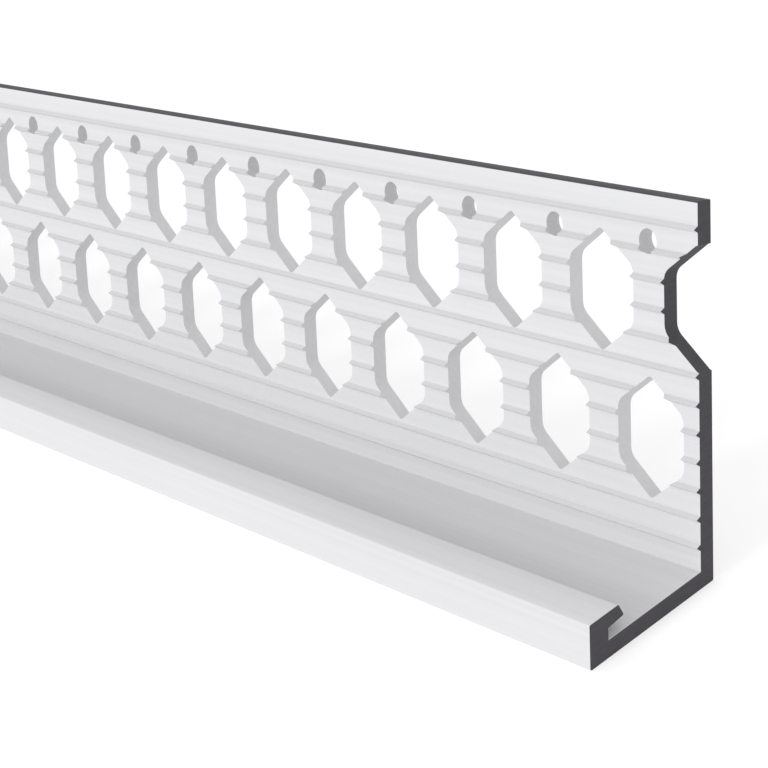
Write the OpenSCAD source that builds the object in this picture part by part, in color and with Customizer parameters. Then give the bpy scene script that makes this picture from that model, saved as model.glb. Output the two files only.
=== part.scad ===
// Bellcast bead: an extruded render bead with a ribbed and pierced wing, a sloping drip shelf
// and a hooked nose. It stands on the flat underside of its shelf, so the wing leans back.
// X runs along the bead, Y from the front to the back, and Z is up. The origin is in the middle
// of the space that the bead takes on the floor.

/* [Stock] */
// Length of the bead, as it is sold
stock_length = 2500; // [100:100:3000]
// Thickness of the wing and of the shelf
wall = 2; // [1.4:0.1:2.4]
// Fall of the shelf from back to front where the wing is upright, in degrees
fall = 18; // [8:1:24]
// Radius on the outer edges of the section
edge_r = 0.2; // [0.1:0.05:0.3]

/* [Wing] */
// Height of the wing up its back face, from the underside
wing_h = 45; // [44:1:60]

/* [Shelf and nose] */
// Width of the flat underside
underside_w = 20.2; // [16:0.2:30]
// Height of the nose above the floor
nose_h = 5.2; // [4.8:0.1:7]
// Thickness of the nose's upright
nose_t = 2.8; // [1.6:0.1:3.2]
// Reach of the lip over the groove behind the nose
lip_reach = 2.6; // [1:0.1:3.2]
// Height of the groove at its back
groove_h = 1.4; // [1:0.1:2]
// Rise of the lip's underside toward its tip
lip_rise = 0.25; // [0:0.05:0.5]
// Lean of the lip's tip over its own height
tip_lean = 0.35; // [0:0.05:0.8]

/* [Ribs] */
// Number of places for keying ribs up the front of the wing
rib_count = 12; // [1:1:12]
// Spacing of the ribs
rib_pitch = 3.4; // [2:0.1:3.5]
// Height of the lowest rib up the wing
rib_start = 4.4; // [4:0.1:5]
// Width of a rib at its root
rib_w = 0.8; // [0.4:0.1:1.2]
// Stand of a rib from the wing
rib_out = 0.6; // [0.2:0.1:1]

/* [Key holes] */
// Spacing of the holes along each row
hole_pitch = 16.4; // [14:0.2:30]
// Width of a six-sided key hole
key_w = 11.2; // [6:0.2:12.6]
// Height of a key hole from point to point
key_h = 15; // [10:0.2:15.4]
// Height of a key hole's upright sides
key_side_h = 7; // [3:0.2:9]
// Radius in the top and bottom points
key_tip_r = 0.6; // [0.2:0.1:1]
// Height of the lower row's middle up the wing
low_row = 16; // [14:0.5:16.5]
// Height of the upper row's middle up the wing
high_row = 32.6; // [32.2:0.1:33]

/* [Nail holes] */
// Diameter of a nail hole
nail_d = 3; // [2:0.2:4]
// Height of the nail holes' row up the wing
nail_row = 39.4; // [38.4:0.1:40]

/* [Hidden] */
cut = 1; // how far a cutting shape runs past the face that it cuts
arc_steps = 3; // sides that stand for a rounded edge of the section
front = -underside_w; // front edge of the underside, with the back edge at 0
floor_middle = (front + wing_h * sin(fall)) / 2;
nose_front = front + nose_h * tan(fall); // front edge of the nose's top
groove_foot = front + nose_t / cos(fall); // groove's back wall where it would meet the floor
lip_under = wall + groove_h; // height of the lip's underside at the groove's back wall
tip = groove_foot + lip_under * tan(fall) + lip_reach; // foot of the lip's tip
pitches = ceil(stock_length / hole_pitch);
tip_angle = atan(key_w / (key_h - key_side_h)); // half the angle in a key hole's point
key_reach = key_h / 2 - key_tip_r * (1 / sin(tip_angle) - 1); // middle to rounded point

// A place on the section: s up the wing's back face and out from it toward the front.
function on_wing(s, out) = [s * sin(fall) - out * cos(fall), s * cos(fall) + out * sin(fall)];

// A corner of an outline turned into an arc of radius r in the given number of steps.
function arc_corner(before, at, after, r, steps) =
    let (
        u = (before - at) / norm(before - at),
        v = (after - at) / norm(after - at),
        half = acos(u * v) / 2,
        middle = at + (u + v) / norm(u + v) * r / sin(half),
        first = at + u * r / tan(half) - middle,
        turn = sign(u.x * v.y - u.y * v.x) * (2 * half - 180)
    )
    [for (i = [0:steps]) let (a = turn * i / steps)
        middle + [first.x * cos(a) - first.y * sin(a), first.x * sin(a) + first.y * cos(a)]];

// An outline of [place, radius, steps] rows, with a sharp corner where the radius is 0.
function rounded(rows) =
    let (n = len(rows))
    [for (i = [0:n - 1])
        let (row = rows[i])
        each row[1] == 0 ? [row[0]] : arc_corner(
            rows[(i + n - 1) % n][0], row[0], rows[(i + 1) % n][0], row[1], row[2])];

// Whether a rib at height s keeps clear of a row of holes that reach that far from their middle.
function clears(s, middle, reach) = abs(s - middle) > reach + rib_w / 2;

// Heights of the ribs that run whole from end to end, highest first. The short lengths of rib
// left between the holes are fine relief, which the section leaves out.
whole_ribs = [
    for (i = [rib_count - 1:-1:0])
        let (s = rib_start + i * rib_pitch)
        if (clears(s, low_row, key_reach) && clears(s, high_row, key_reach)
            && clears(s, nail_row, nail_d / 2)) s
];

// The three corners of a rib, from its upper root to its lower one.
function rib(s) = [
    [on_wing(s + rib_w / 2, wall), 0, 0],
    [on_wing(s, wall + rib_out), 0, 0],
    [on_wing(s - rib_w / 2, wall), 0, 0]
];

// The section of the bead, from the back edge of the underside round by the wing and the nose.
section = rounded([
    [[0, 0], edge_r, arc_steps],
    [on_wing(wing_h, 0), edge_r, arc_steps],
    [on_wing(wing_h, wall), edge_r, arc_steps],
    for (s = whole_ribs) each rib(s),
    [[wall * tan(fall) - wall / cos(fall), wall], 0, 0],
    [[groove_foot + wall * tan(fall), wall], 0, 0],
    [[groove_foot + lip_under * tan(fall), lip_under], 0, 0],
    [[tip, lip_under + lip_rise], edge_r, arc_steps],
    [[tip - tip_lean, nose_h], edge_r, arc_steps],
    [[nose_front, nose_h], edge_r, arc_steps],
    [[front, 0], edge_r, arc_steps]
]);

// The outline of a key hole about its middle.
key_outline = rounded([
    [[0, key_h / 2], key_tip_r, 1],
    [[-key_w / 2, key_side_h / 2], 0, 0],
    [[-key_w / 2, -key_side_h / 2], 0, 0],
    [[0, -key_h / 2], key_tip_r, 1],
    [[key_w / 2, -key_side_h / 2], 0, 0],
    [[key_w / 2, key_side_h / 2], 0, 0]
]);

// Carries a shape from a plane that faces the front to a place s up the wing and x along it.
module up_wing(x, s) {
    translate([x, s * sin(fall), s * cos(fall)]) rotate([90 - fall, 0, 0]) children();
}

// Cuts of one row: a hole at every pitch, the first one at the given share of a pitch from the
// right end.
module row(s, share) {
    for (i = [0:pitches])
        if ((i + share) * hole_pitch < stock_length + key_w / 2)
            up_wing(stock_length / 2 - (i + share) * hole_pitch, s) children();
}

module key_hole() {
    translate([0, 0, -cut]) linear_extrude(wall + rib_out + 2 * cut) polygon(key_outline);
}

module nail_hole() {
    translate([0, 0, -cut]) cylinder(d = nail_d, h = wall + rib_out + 2 * cut, $fn = 32);
}

module bellcast_bead() {
    color("gainsboro") translate([0, -floor_middle, 0]) difference() {
        translate([-stock_length / 2, 0, 0])
            rotate([90, 0, 90]) linear_extrude(stock_length) polygon(section);
        row(high_row, 0) key_hole();
        row(low_row, 0.5) key_hole();
        row(nail_row, 0.5) nail_hole();
    }
}

bellcast_bead();
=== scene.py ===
"""A bellcast bead for render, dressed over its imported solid.

The bead is one plastic extrusion: a ribbed wing, pierced by key holes and nail holes, over a
sloping drip shelf with a hooked nose. It stands on the flat underside of its shelf, so its wing
leans back. X runs along the bead, Y from the nose to the back and Z up. Sizes are in metres.
"""

import math

import bpy
import numpy as np
from mathutils import Matrix, Vector
from mathutils.geometry import tessellate_polygon


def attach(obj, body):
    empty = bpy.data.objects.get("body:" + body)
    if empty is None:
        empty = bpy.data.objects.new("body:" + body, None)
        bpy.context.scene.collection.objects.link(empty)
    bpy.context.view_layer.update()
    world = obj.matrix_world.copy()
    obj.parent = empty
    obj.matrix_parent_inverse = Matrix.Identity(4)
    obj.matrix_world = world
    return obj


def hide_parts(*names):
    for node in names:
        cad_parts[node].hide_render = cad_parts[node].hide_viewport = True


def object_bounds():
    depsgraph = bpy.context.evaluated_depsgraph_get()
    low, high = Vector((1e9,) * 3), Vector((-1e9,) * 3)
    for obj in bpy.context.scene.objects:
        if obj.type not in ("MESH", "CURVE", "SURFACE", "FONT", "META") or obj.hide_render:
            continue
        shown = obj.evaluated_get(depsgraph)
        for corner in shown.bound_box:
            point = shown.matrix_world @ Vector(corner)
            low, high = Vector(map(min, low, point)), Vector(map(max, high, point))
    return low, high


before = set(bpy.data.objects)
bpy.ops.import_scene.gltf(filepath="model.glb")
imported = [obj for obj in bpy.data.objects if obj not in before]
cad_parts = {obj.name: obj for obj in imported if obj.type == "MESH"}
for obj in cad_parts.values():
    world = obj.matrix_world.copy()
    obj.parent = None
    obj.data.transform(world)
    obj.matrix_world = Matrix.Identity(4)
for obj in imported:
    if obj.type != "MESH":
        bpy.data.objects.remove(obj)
CAD_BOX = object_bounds()

MM = 0.001

# The section
WALL = 2.0 * MM
FALL = math.radians(18.0)
EDGE_R = 0.2 * MM
WING_H = 45.0 * MM
UNDERSIDE_W = 20.2 * MM
NOSE_H = 5.2 * MM
NOSE_T = 2.8 * MM
LIP_REACH = 2.6 * MM
GROOVE_H = 1.4 * MM
LIP_RISE = 0.25 * MM
TIP_LEAN = 0.35 * MM

# Ribs up the front of the wing
RIB_COUNT = 12
RIB_PITCH = 3.4 * MM
RIB_START = 4.4 * MM
RIB_W = 0.8 * MM
RIB_OUT = 0.6 * MM

# Rows of holes, with their heights up the wing
HOLE_PITCH = 16.4 * MM
KEY_W = 11.2 * MM
KEY_H = 15.0 * MM
KEY_SIDE_H = 7.0 * MM
KEY_CORNER_R = 1.8 * MM
KEY_TIP_R = 0.6 * MM
LOW_ROW = 16.0 * MM
HIGH_ROW = 32.6 * MM
NAIL_D = 3.0 * MM
NAIL_ROW = 39.4 * MM

# Steps in an arc on the section's edges
EDGE_STEPS = 3
# Steps in the arc of a key hole's side corner
CORNER_STEPS = 4
# Steps in the arc of a key hole's point, an even number, so that its halfway point is in the mesh
TIP_STEPS = 4
# Steps in half a nail hole
NAIL_STEPS = 10

# The mesh has the wing's rows from this height up its back face, and the foot below it
ROOT_S = 3.0 * MM
# Lengths below this are nothing, and corners nearer to each other than this are one corner
SAME = 1e-7
# Rows of the wing nearer to each other than this are one row
ROW_GAP = 1e-6
# Decimals that the height of a row keeps
ROW_DECIMALS = 8
# Edges that turn by more than this stay sharp
SHARP_TURN = math.radians(28.0)

# The camera, at the drawing's viewing angle
CAMERA_PLACE = Vector((1.43676, -0.14092, 0.14342))
CAMERA_LOOKS = Vector((-0.78421, 0.46269, -0.41344))
CAMERA_UP = Vector((-0.17674, 0.47215, 0.86362))
LENS_MM = 109.56
SENSOR_MM = 36.0
NEAREST_SEEN = 0.01
FARTHEST_SEEN = 100.0

# The studio
FLOOR_REACH = 60.0
WHITE = (1.0, 1.0, 1.0, 1.0)

RIGHT_END = CAD_BOX[1].x
LEFT_END = CAD_BOX[0].x
SIN, COS, TAN = math.sin(FALL), math.cos(FALL), math.tan(FALL)
FLOOR_MIDDLE = (WING_H * SIN - UNDERSIDE_W) / 2


def on_wing(s, out):
    """Places on the section: s up the wing's back face, and out from it toward the front."""
    return np.stack([s * SIN - out * COS - FLOOR_MIDDLE, s * COS + out * SIN], axis=-1)


def arc_corner(before, at, after, radius, steps):
    """A corner of an outline as an arc: points at equal angles about the middle that lies
    radius away from both of the corner's sides."""
    before, at, after = (np.asarray(p, float) for p in (before, at, after))
    u = (before - at) / np.linalg.norm(before - at)
    v = (after - at) / np.linalg.norm(after - at)
    half = math.acos(float(u @ v)) / 2
    middle = at + (u + v) / np.linalg.norm(u + v) * radius / math.sin(half)
    first = at + u * radius / math.tan(half) - middle
    turn = np.sign(u[0] * v[1] - u[1] * v[0]) * (2 * half - math.pi)
    a = turn * np.linspace(0.0, 1.0, steps + 1)
    return middle + np.stack([
        first[0] * np.cos(a) - first[1] * np.sin(a),
        first[0] * np.sin(a) + first[1] * np.cos(a),
    ], axis=-1)


def rounded(rows):
    """An outline of (place, radius, steps) rows, with a sharp corner where the radius is 0."""
    count = len(rows)
    parts = [
        arc_corner(rows[i - 1][0], at, rows[(i + 1) % count][0], radius, steps)
        if radius else np.asarray([at], float)
        for i, (at, radius, steps) in enumerate(rows)
    ]
    return np.concatenate(parts)


def key_half_outline():
    """The right half of a key hole about its middle, from its top point to its bottom one, as
    (half width, height) rows: a six-sided outline with arcs in its corners."""
    w, h, side = KEY_W / 2, KEY_H / 2, KEY_SIDE_H / 2
    whole = rounded([
        ((0, h), KEY_TIP_R, TIP_STEPS),
        ((w, side), KEY_CORNER_R, CORNER_STEPS),
        ((w, -side), KEY_CORNER_R, CORNER_STEPS),
        ((0, -h), KEY_TIP_R, TIP_STEPS),
        ((-w, -side), KEY_CORNER_R, CORNER_STEPS),
        ((-w, side), KEY_CORNER_R, CORNER_STEPS),
    ])
    right = whole[whole[:, 0] > -SAME]
    return right[np.argsort(-right[:, 1])]


def nail_half_outline():
    """The right half of a nail hole about its middle, from its top to its bottom, as (half width,
    height) rows at equal angles."""
    a = np.linspace(math.pi / 2, -math.pi / 2, NAIL_STEPS + 1)
    return np.stack([np.cos(a), np.sin(a)], axis=-1) * NAIL_D / 2


KEY_OUTLINE = key_half_outline()
NAIL_OUTLINE = nail_half_outline()
RIBS = RIB_START + RIB_PITCH * np.arange(RIB_COUNT)


def width_at(outline, middle, s):
    """Half the width of a hole at heights s up the wing, 0 above and below it."""
    rows = outline[::-1]
    return np.interp(s - middle, rows[:, 1], rows[:, 0], left=0.0, right=0.0)


def height_of_width(outline, middle, width):
    """The heights up the wing at which half the width of a hole crosses the given width."""
    w, s = outline[:, 0], outline[:, 1] + middle
    crossing = np.nonzero((w[:-1] - width) * (w[1:] - width) < 0)[0]
    share = (width - w[crossing]) / (w[crossing + 1] - w[crossing])
    return s[crossing] + share * (s[crossing + 1] - s[crossing])


def relief(s):
    """How far the front of the wing stands out at heights s: a wall with ridges on it, whose
    straight flanks fall away from their crest to their roots."""
    nearest = np.abs(s[:, None] - RIBS[None, :]).min(axis=1)
    return WALL + RIB_OUT * np.clip(1 - nearest / (RIB_W / 2), 0.0, 1.0)


def stations():
    """The places of the holes along the bead: every half pitch from its right end, up to the
    first one at its left end or past it."""
    half = HOLE_PITCH / 2
    count = math.ceil((RIGHT_END - LEFT_END - SAME) / half)
    return RIGHT_END - half * np.arange(count + 1)


def hole_width(k, s):
    """Half the width at heights s of the hole on station k: a high key hole on the even ones,
    a low key hole and a nail hole on the odd ones."""
    high = width_at(KEY_OUTLINE, HIGH_ROW, s)
    low = width_at(KEY_OUTLINE, LOW_ROW, s) + width_at(NAIL_OUTLINE, NAIL_ROW, s)
    return np.where((k % 2 == 0)[:, None], high[None, :], low[None, :])


def wing_levels(end_gap):
    """Heights up the wing at which its mesh has rows: its ends, each rib's roots and crest, each
    point of the holes' outlines, and where the left end cuts a hole that far from its middle."""
    outlines = ((KEY_OUTLINE, LOW_ROW), (KEY_OUTLINE, HIGH_ROW), (NAIL_OUTLINE, NAIL_ROW))
    levels = np.concatenate(
        [[ROOT_S, WING_H - EDGE_R], RIBS, RIBS - RIB_W / 2, RIBS + RIB_W / 2]
        + [outline[:, 1] + middle for outline, middle in outlines]
        + [height_of_width(outline, middle, end_gap) for outline, middle in outlines]
    )
    levels = np.unique(np.round(levels, ROW_DECIMALS))
    return levels[np.concatenate([[True], np.diff(levels) > ROW_GAP])]


def top_outline():
    """The section's top edge between the last row of the wing's back and that of its front: two
    rounded corners, without the ends of their arcs, which those rows are."""
    rows = [
        (on_wing(ROOT_S, 0.0), 0, 0),
        (on_wing(WING_H, 0.0), EDGE_R, EDGE_STEPS),
        (on_wing(WING_H, WALL), EDGE_R, EDGE_STEPS),
        (on_wing(ROOT_S, WALL), 0, 0),
    ]
    return rounded(rows)[2:-2]


def foot_outline():
    """The section below the wing, from the front of the wing's root round by the shelf, the
    groove, the lip, the nose and the underside to the back of the root, without those two."""
    def flat(y, z):
        return np.array([y - FLOOR_MIDDLE, z])

    lip_under = WALL + GROOVE_H
    groove = -UNDERSIDE_W + NOSE_T / COS
    tip = groove + lip_under * TAN + LIP_REACH
    rows = [
        (on_wing(ROOT_S, WALL), 0, 0),
        (flat(WALL * TAN - WALL / COS, WALL), 0, 0),
        (flat(groove + WALL * TAN, WALL), 0, 0),
        (flat(groove + lip_under * TAN, lip_under), 0, 0),
        (flat(tip, lip_under + LIP_RISE), EDGE_R, EDGE_STEPS),
        (flat(tip - TIP_LEAN, NOSE_H), EDGE_R, EDGE_STEPS),
        (flat(-UNDERSIDE_W + NOSE_H * TAN, NOSE_H), EDGE_R, EDGE_STEPS),
        (flat(-UNDERSIDE_W, 0), EDGE_R, EDGE_STEPS),
        (flat(0, 0), EDGE_R, EDGE_STEPS),
        (on_wing(ROOT_S, 0.0), 0, 0),
    ]
    return rounded(rows)[1:-1]


def section_loop(levels):
    """The section as a closed loop: up the wing's back, over its top edge, down its front and
    round the foot. With it come its points' numbers: those of the back's rows and of the front's
    rows, both from the lowest up, and those of the outlines of the top edge and of the foot."""
    n = len(levels)
    top, foot = top_outline(), foot_outline()
    back = on_wing(levels, np.zeros(n))
    front = on_wing(levels, relief(levels))
    loop = np.concatenate([back, top, front[::-1], foot])
    back_j = np.arange(n)
    front_j = n + len(top) + back_j[::-1]
    top_j = np.arange(n - 1, n + len(top) + 1)
    foot_j = np.concatenate([[front_j[0]], np.arange(len(loop) - len(foot), len(loop)), [0]])
    return loop, back_j, front_j, top_j, foot_j


def triangles(quads):
    """Two triangles for each row of four corners."""
    return np.concatenate([quads[:, [0, 1, 2]], quads[:, [0, 2, 3]]])


def filled(outline, ids):
    """Triangles that fill a flat outline of (y, z) points, as rows of the points' ids. They are
    turned so that they face +X."""
    flat = [Vector((0.0, y, z)) for y, z in outline]
    found = np.array(tessellate_polygon([flat]), int)
    a, b, c = (outline[found[:, i]] for i in range(3))
    ab, ac = b - a, c - a
    area = ab[:, 0] * ac[:, 1] - ab[:, 1] * ac[:, 0]
    found[area < 0] = found[area < 0][:, ::-1]
    return ids[found]


def through_wall(ids, back_j, front_j):
    """The four corners of each cell between two rows of the back and the same two of the front,
    for each row of ids. They go round it so that it faces +X."""
    corners = [back_j[:-1], back_j[1:], front_j[1:], front_j[:-1]]
    return np.stack([ids[:, j] for j in corners], axis=-1)


def welded(corners, tris, marks):
    """Joins corners that coincide, and drops triangles that then have no area."""
    keys = np.round(corners / SAME).astype(np.int64)
    _, first, same = np.unique(keys, axis=0, return_index=True, return_inverse=True)
    tris = same.reshape(-1)[tris]
    real = (tris[:, 0] != tris[:, 1]) & (tris[:, 1] != tris[:, 2]) & (tris[:, 2] != tris[:, 0])
    return corners[first], tris[real], marks[real]


def bead_surface():
    """Corners and triangles of the whole bead, and for each triangle whether it takes the painted
    shade.

    Point j of the section's loop stands at station k in two columns, x = x_k + w_k(s_j) and
    x = x_k - w_k(s_j), where w_k is half the width of the hole there, so the skin from one
    station to the next is a grid over (station, j). Front and back rows at one height share
    their x, so the wall of a hole is the grid between them, made only where the hole has some
    width. On the first and last stations that grid is the bead's end face.
    """
    x = stations()
    levels = wing_levels(LEFT_END - x[-1])
    loop, back_j, front_j, top_j, foot_j = section_loop(levels)
    j = np.arange(len(loop))

    hole = hole_width(np.arange(len(x)), levels)
    widths = np.zeros((len(x), len(loop)))
    widths[:, back_j] = hole
    widths[:, front_j] = hole
    columns = np.stack([x[:, None] + widths, x[:, None] - widths], axis=1)
    columns = np.clip(columns, LEFT_END, RIGHT_END)
    places = np.broadcast_to(loop, (*columns.shape, 2))
    corners = np.concatenate([columns[..., None], places], axis=-1)
    ids = np.arange(columns.size).reshape(columns.shape)

    # The skin between two stations runs from the right one's second column to the left one's first
    right, left = ids[:-1, 1], ids[1:, 0]
    after = np.roll(j, -1)
    skin = np.stack([left, left[:, after], right[:, after], right], axis=-1).reshape(-1, 4)
    # The top edge's faces take the painted shade, a near-black colour that stands in for shade
    skin_painted_shade = np.tile(np.isin(j, top_j[:-1]), len(x) - 1)

    # Cells through the wall, where a hole has some width and all the way up both ends
    right_wall = through_wall(right, back_j, front_j)
    left_wall = through_wall(left, back_j, front_j)[..., [1, 0, 3, 2]]
    open_here = (hole[:, :-1] > SAME) | (hole[:, 1:] > SAME)
    open_here[[0, -1]] = True
    right_open, left_open = open_here[:-1], open_here[1:]
    # The end faces take the painted shade
    right_painted_shade = np.zeros_like(right_open)
    right_painted_shade[0] = True
    left_painted_shade = np.zeros_like(left_open)
    left_painted_shade[-1] = True

    quads = np.concatenate([skin, right_wall[right_open], left_wall[left_open]])
    painted_shade = np.concatenate([skin_painted_shade, right_painted_shade[right_open], left_painted_shade[left_open]])

    # Caps, which fill both ends above the wing's last row and below its first one
    caps = [filled(loop[rows], right[0][rows]) for rows in (top_j, foot_j)]
    caps += [filled(loop[rows], left[-1][rows])[:, ::-1] for rows in (top_j, foot_j)]
    tris = np.concatenate([triangles(quads), *caps])
    # The caps, at both ends, all take the painted shade
    tri_painted_shade = np.concatenate([painted_shade, painted_shade, np.ones(sum(len(cap) for cap in caps), bool)])
    return welded(corners.reshape(-1, 3), tris, tri_painted_shade)


def mesh_object(name, corners, tris):
    """A Blender object at the origin from arrays of corners and triangles."""
    mesh = bpy.data.meshes.new(name)
    mesh.vertices.add(len(corners))
    mesh.vertices.foreach_set("co", corners.astype(np.float32).ravel())
    mesh.loops.add(tris.size)
    mesh.loops.foreach_set("vertex_index", tris.astype(np.int32).ravel())
    mesh.polygons.add(len(tris))
    mesh.polygons.foreach_set("loop_start", np.arange(0, tris.size, 3, dtype=np.int32))
    mesh.update(calc_edges=True)
    mesh.validate()
    piece = bpy.data.objects.new(name, mesh)
    bpy.context.scene.collection.objects.link(piece)
    return piece


def new_material(name):
    """An empty node material with its Principled shader and output joined."""
    material = bpy.data.materials.new(name)
    material.use_nodes = True
    tree = material.node_tree
    tree.nodes.clear()
    shader = tree.nodes.new("ShaderNodeBsdfPrincipled")
    output = tree.nodes.new("ShaderNodeOutputMaterial")
    tree.links.new(shader.outputs["BSDF"], output.inputs["Surface"])
    return material, tree, shader


def noise(tree, detail, roughness, scale=1.0, stretch=(1.0, 1.0, 1.0)):
    """Noise over Object coordinates that are first multiplied by a factor for each axis."""
    where = tree.nodes.new("ShaderNodeTexCoord")
    turn = tree.nodes.new("ShaderNodeMapping")
    turn.inputs["Scale"].default_value = stretch
    pattern = tree.nodes.new("ShaderNodeTexNoise")
    pattern.inputs["Scale"].default_value = scale
    pattern.inputs["Detail"].default_value = detail
    pattern.inputs["Roughness"].default_value = roughness
    tree.links.new(where.outputs["Object"], turn.inputs["Vector"])
    tree.links.new(turn.outputs["Vector"], pattern.inputs["Vector"])
    return pattern.outputs["Fac"]


def mixed(tree, first, second, share):
    """The mean of two patterns, in which the second one has the given share."""
    node = tree.nodes.new("ShaderNodeMix")
    node.inputs["Factor"].default_value = share
    tree.links.new(first, node.inputs["A"])
    tree.links.new(second, node.inputs["B"])
    return node.outputs["Result"]


def ramp(tree, value, low, high, start=0.3, end=0.7):
    """Carries a value from the colour low to the colour high as it goes from start to end."""
    node = tree.nodes.new("ShaderNodeValToRGB")
    node.color_ramp.elements[0].position = start
    node.color_ramp.elements[1].position = end
    node.color_ramp.elements[0].color = (*low, 1.0)
    node.color_ramp.elements[1].color = (*high, 1.0)
    tree.links.new(value, node.inputs["Fac"])
    return node.outputs["Color"]


def bump(tree, shader, height, distance, strength):
    """Turns a height into a bump on the shader, over any bump that it has."""
    node = tree.nodes.new("ShaderNodeBump")
    node.inputs["Distance"].default_value = distance
    node.inputs["Strength"].default_value = strength
    tree.links.new(height, node.inputs["Height"])
    normal = shader.inputs["Normal"]
    if normal.is_linked:
        tree.links.new(normal.links[0].from_socket, node.inputs["Normal"])
    tree.links.new(node.outputs["Normal"], normal)


def extruded_plastic():
    """Pale grey plastic: die lines less than a millimetre apart that run far along the bead, a
    slow clouding of its tint, and a fine satin grain."""
    material, tree, shader = new_material("extruded_plastic")
    lines = noise(tree, detail=4.0, roughness=0.6, stretch=(1.5, 1500.0, 1500.0))
    cloud = noise(tree, detail=2.0, roughness=0.5, stretch=(14.0, 40.0, 40.0))
    grain = noise(tree, detail=2.0, roughness=0.5, scale=2600.0)
    streaks = mixed(tree, lines, cloud, share=0.35)
    tint = ramp(tree, streaks, (0.550, 0.550, 0.562), (0.590, 0.590, 0.601), start=0.35, end=0.65)
    tree.links.new(tint, shader.inputs["Base Color"])
    gloss = ramp(tree, lines, (0.42, 0.42, 0.42), (0.50, 0.50, 0.50))
    tree.links.new(gloss, shader.inputs["Roughness"])
    shader.inputs["Specular IOR Level"].default_value = 0.4
    bump(tree, shader, lines, distance=0.03 * MM, strength=0.8)
    bump(tree, shader, grain, distance=0.02 * MM, strength=0.6)
    return material


def painted_shade_finish():
    """Painted shade: a near-black colour for the top edge, both ends and the holes that these cut,
    which stands in for the shade on them, with fine saw marks."""
    material, tree, shader = new_material("painted_shade_on_edges")
    marks = noise(tree, detail=3.0, roughness=0.6, stretch=(500.0, 500.0, 3500.0))
    tint = ramp(tree, marks, (0.047, 0.044, 0.050), (0.060, 0.057, 0.064))
    tree.links.new(tint, shader.inputs["Base Color"])
    shader.inputs["Roughness"].default_value = 0.7
    shader.inputs["Specular IOR Level"].default_value = 0.3
    bump(tree, shader, marks, distance=0.02 * MM, strength=0.5)
    return material


def bead():
    """The whole bead as one closed surface, in its plastic and a painted shade on its top edge and
    ends.
    """
    corners, tris, painted_shade = bead_surface()
    piece = mesh_object("bellcast_bead_skin", corners, tris)
    mesh = piece.data
    mesh.materials.append(extruded_plastic())
    # The second slot is the painted shade of the top edge and the ends
    mesh.materials.append(painted_shade_finish())
    mesh.polygons.foreach_set("material_index", painted_shade.astype(np.int32))
    mesh.polygons.foreach_set("use_smooth", np.ones(len(tris), bool))
    mesh.set_sharp_from_angle(angle=SHARP_TURN)
    mesh.update()
    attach(piece, "root")
    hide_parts("bellcast_bead")


def camera():
    """An unshifted camera, rolled so that the leaning wing stands upright in the picture."""
    data = bpy.data.cameras.new("camera")
    data.lens = LENS_MM
    data.sensor_width = SENSOR_MM
    data.clip_start = NEAREST_SEEN
    data.clip_end = FARTHEST_SEEN
    eye = bpy.data.objects.new("camera", data)
    bpy.context.scene.collection.objects.link(eye)
    back = -CAMERA_LOOKS.normalized()
    right = CAMERA_UP.cross(back).normalized()
    up = back.cross(right)
    turn = Matrix((right, up, back)).transposed().to_4x4()
    eye.matrix_world = Matrix.Translation(CAMERA_PLACE) @ turn
    bpy.context.scene.camera = eye


def studio_floor():
    """A plain white floor that runs far past every view, lit from within so that shadows stay
    pale on it."""
    corners = FLOOR_REACH * np.array([[-1, -1, 0], [1, -1, 0], [1, 1, 0], [-1, 1, 0]])
    floor = mesh_object("floor", corners, np.array([[0, 1, 2], [0, 2, 3]]))
    material, _, shader = new_material("white_floor")
    shader.inputs["Base Color"].default_value = (0.5, 0.5, 0.5, 1.0)
    shader.inputs["Roughness"].default_value = 0.9
    shader.inputs["Specular IOR Level"].default_value = 0.1
    shader.inputs["Emission Color"].default_value = WHITE
    shader.inputs["Emission Strength"].default_value = 0.5
    floor.data.materials.append(material)


def sun(name, strength, width, azimuth, elevation):
    """A soft far light of the given width, in degrees, that shines from an azimuth, 0 being the
    front and 90 the right, and an elevation."""
    data = bpy.data.lights.new(name, "SUN")
    data.energy = strength
    data.angle = math.radians(width)
    lamp = bpy.data.objects.new(name, data)
    bpy.context.scene.collection.objects.link(lamp)
    a, e = math.radians(azimuth), math.radians(elevation)
    toward = Vector((math.sin(a) * math.cos(e), -math.cos(a) * math.cos(e), math.sin(e)))
    lamp.rotation_mode = "QUATERNION"
    lamp.rotation_quaternion = toward.to_track_quat("Z", "Y")


def studio_light():
    """A low soft sun from the front, under an even white sky, so that the upright faces are the
    brightest and those that face up or to the side are a step darker."""
    world = bpy.data.worlds.new("studio")
    world.use_nodes = True
    sky = world.node_tree.nodes["Background"]
    sky.inputs["Color"].default_value = WHITE
    sky.inputs["Strength"].default_value = 1.0
    bpy.context.scene.world = world
    sun("key_light", strength=1.3, width=24.0, azimuth=-6.0, elevation=22.0)
    settings = bpy.context.scene.view_settings
    settings.view_transform = "Standard"
    settings.look = "None"
    settings.exposure = 0.0


camera()
bead()
studio_floor()
studio_light()
